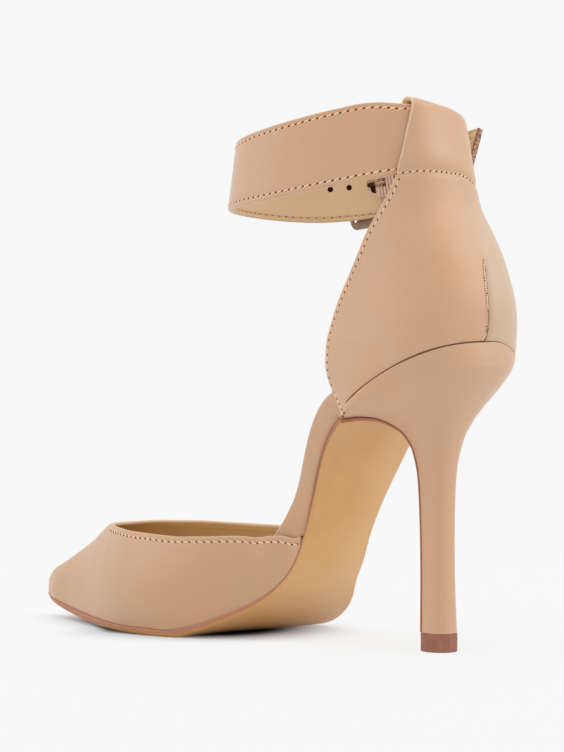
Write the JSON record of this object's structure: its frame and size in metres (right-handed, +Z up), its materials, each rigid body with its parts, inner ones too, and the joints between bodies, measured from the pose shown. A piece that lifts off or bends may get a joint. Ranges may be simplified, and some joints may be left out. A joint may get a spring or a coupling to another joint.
{
  "type": "strap pump",
  "caption": "Pointed closed-toe pump with a slim high covered heel, an open waist, a separate heel quarter and a wide buckled ankle strap that runs through a folded tunnel.",
  "frame": {"origin": "middle of the shoe's box, on the floor that its heel tip and forefoot stand on", "axes": "+Z up, toe towards -Y, heel towards +Y, medial side towards +X"},
  "size_m": [0.0782, 0.2172, 0.1899],
  "materials": {
    "upper_leather": "smooth matte nude leather",
    "strap_leather": "smooth matte nude leather with a pale lining and cut edges",
    "heel_cover": "smooth matte nude leather wrapped tight",
    "insole_cover": "smooth pale lining leather",
    "sole_leather": "golden tan sole with a rust brown painted edge",
    "tip_rubber": "brown moulded top piece",
    "ribbed_elastic": "beige ribbed elastic",
    "buckle_metal": "polished silver"
  },
  "bodies": {
    "root": {"outsole": "sole_leather", "insole": "insole_cover", "vamp": "upper_leather", "quarter": "upper_leather", "heel": "heel_cover", "heel_tip": "tip_rubber", "ankle_strap": "strap_leather", "buckle_elastic": "ribbed_elastic", "buckle_frame": "buckle_metal", "buckle_prong": "buckle_metal"}
  },
  "joints": []
}
